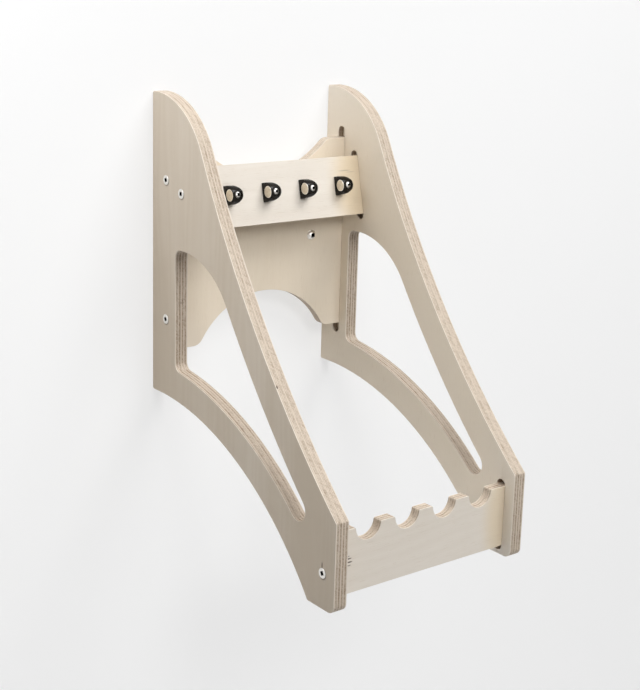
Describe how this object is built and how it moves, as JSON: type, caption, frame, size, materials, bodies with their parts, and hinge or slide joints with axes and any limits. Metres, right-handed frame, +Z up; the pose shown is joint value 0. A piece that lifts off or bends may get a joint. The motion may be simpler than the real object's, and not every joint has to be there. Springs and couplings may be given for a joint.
{
  "type": "saw till",
  "caption": "Wall-hung plywood saw till: curved open sides, a back panel, a leaning rail with magnetic saw holders and a notched lower rail.",
  "frame": {"origin": "midway between the two wall screws, in the plane of the wall that the back edges of the sides lie on", "axes": "+X to the right seen from the front, +Y into the wall, +Z up: the front faces -Y"},
  "size_m": [0.1926, 0.279, 0.358],
  "materials": {
    "side_plywood": "satin",
    "board_plywood": "satin",
    "holder_plastic": "gloss",
    "magnet_nickel": "gloss",
    "screw_steel": "satin"
  },
  "bodies": {
    "root": {"left_side_panel": "side_plywood", "right_side_panel": "side_plywood", "back_panel": "board_plywood", "upper_rail": "board_plywood", "lower_rail": "board_plywood", "saw_holder_1": "holder_plastic", "saw_holder_2": "holder_plastic", "saw_holder_3": "holder_plastic", "saw_holder_4": "holder_plastic", "disc_magnet_1": "magnet_nickel", "disc_magnet_2": "magnet_nickel", "disc_magnet_3": "magnet_nickel", "disc_magnet_4": "magnet_nickel", "holder_screw_1": "screw_steel", "holder_screw_2": "screw_steel", "holder_screw_3": "screw_steel", "holder_screw_4": "screw_steel", "left_screw_back_top": "screw_steel", "left_screw_back_bottom": "screw_steel", "left_screw_upper_rail": "screw_steel", "left_screw_lower_rail": "screw_steel", "right_screw_back_top": "screw_steel", "right_screw_back_bottom": "screw_steel", "right_screw_upper_rail": "screw_steel", "right_screw_lower_rail": "screw_steel", "left_wall_screw": "screw_steel", "right_wall_screw": "screw_steel"}
  },
  "joints": []
}
